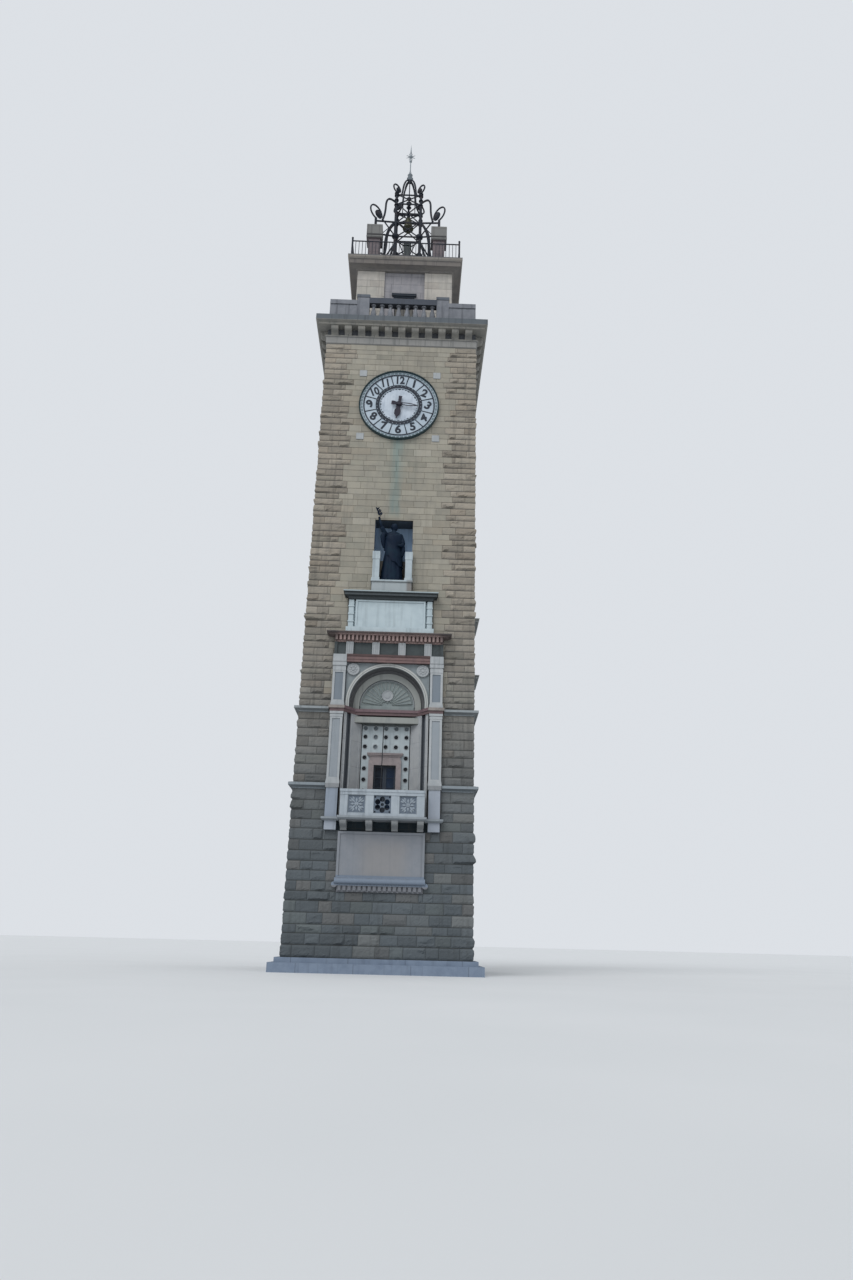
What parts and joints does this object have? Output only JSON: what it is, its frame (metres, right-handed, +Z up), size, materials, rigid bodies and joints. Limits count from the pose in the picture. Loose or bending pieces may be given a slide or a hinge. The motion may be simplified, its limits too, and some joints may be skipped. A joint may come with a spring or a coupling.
{
  "type": "clock and bell tower, scale model at 1:2",
  "caption": "Tall square stone tower with a marble balcony front, a round clock dial, a bracketed cornice, a stepped attic and an iron bell cage.",
  "frame": {"origin": "centre of the square base at ground level, on the plinth's underside", "axes": "+Z up, -Y the front with the clock and the balcony, +X to the right of the front"},
  "size_m": [4.094, 4.222, 22.58],
  "materials": {
    "rusticated_stone": "rock-faced blocks with smooth ashlar in the middle",
    "grey_stone": "weathered dressed stone",
    "pale_stone": "dressed pale stone",
    "white_marble": "matt white marble",
    "red_marble": "matt red marble",
    "green_marble": "dark green marble panels",
    "bronze": "dark patinated bronze",
    "dial_enamel": "satin white dial plates",
    "green_copper": "green patinated copper",
    "dark_steel": "dark painted steel",
    "dark_wood": "dark painted joinery with panes",
    "wrought_iron": "dark painted wrought iron"
  },
  "bodies": {
    "tower": {"plinth": "pale_stone", "wall_front_lower": "rusticated_stone", "wall_front_recess": "rusticated_stone", "wall_front_upper": "rusticated_stone", "wall_back": "rusticated_stone", "wall_sides": "rusticated_stone", "inner_floors": "grey_stone", "terrace_slab": "grey_stone", "string_courses": "pale_stone", "window_surrounds": "pale_stone", "windows": "dark_wood", "lower_plaque": "white_marble", "balcony_slab": "white_marble", "balcony_parapet": "white_marble", "lower_pilasters": "white_marble", "splayed_jambs": "white_marble", "recess_screen": "white_marble", "door_surround": "red_marble", "door_leaves": "dark_wood", "impost_band": "red_marble", "arch_surround": "white_marble", "lunette": "white_marble", "upper_pilasters": "white_marble", "architrave": "red_marble", "frieze": "green_marble", "frieze_blocks": "white_marble", "crown_cornice": "red_marble", "inscription_panel": "white_marble", "statue_base": "white_marble", "statue": "bronze", "clock_rim": "green_copper", "clock_dial": "dial_enamel", "main_cornice_front_back": "grey_stone", "main_cornice_sides": "grey_stone", "balustrade_front_back": "grey_stone", "balustrade_sides": "grey_stone", "attic_walls": "grey_stone", "attic_door": "dark_wood", "attic_cornice": "grey_stone", "railing_front_back": "wrought_iron", "railing_sides": "wrought_iron", "bell_piers": "grey_stone", "cage_posts": "wrought_iron", "cage_front_back": "wrought_iron", "cage_sides": "wrought_iron", "cage_wings": "wrought_iron", "cage_dome": "wrought_iron", "finial": "wrought_iron", "bell": "bronze", "bell_yoke": "wrought_iron", "centre_post": "grey_stone"},
    "hour_arm": {"hour_hand": "dark_steel"},
    "minute_arm": {"minute_hand": "dark_steel"}
  },
  "joints": [
    {"name": "minute_turn", "type": "hinge", "parent": "tower", "child": "minute_arm", "pos_m": [0, -1.88, 12.31], "axis": [0, 1, 0], "continuous": true},
    {"name": "hour_turn", "type": "hinge", "parent": "tower", "child": "hour_arm", "pos_m": [0, -1.85, 12.31], "axis": [0, 1, 0], "continuous": true}
  ],
  "couplings": [
    {"joint": "hour_turn", "follows": "minute_turn", "ratio": 0.083333}
  ]
}
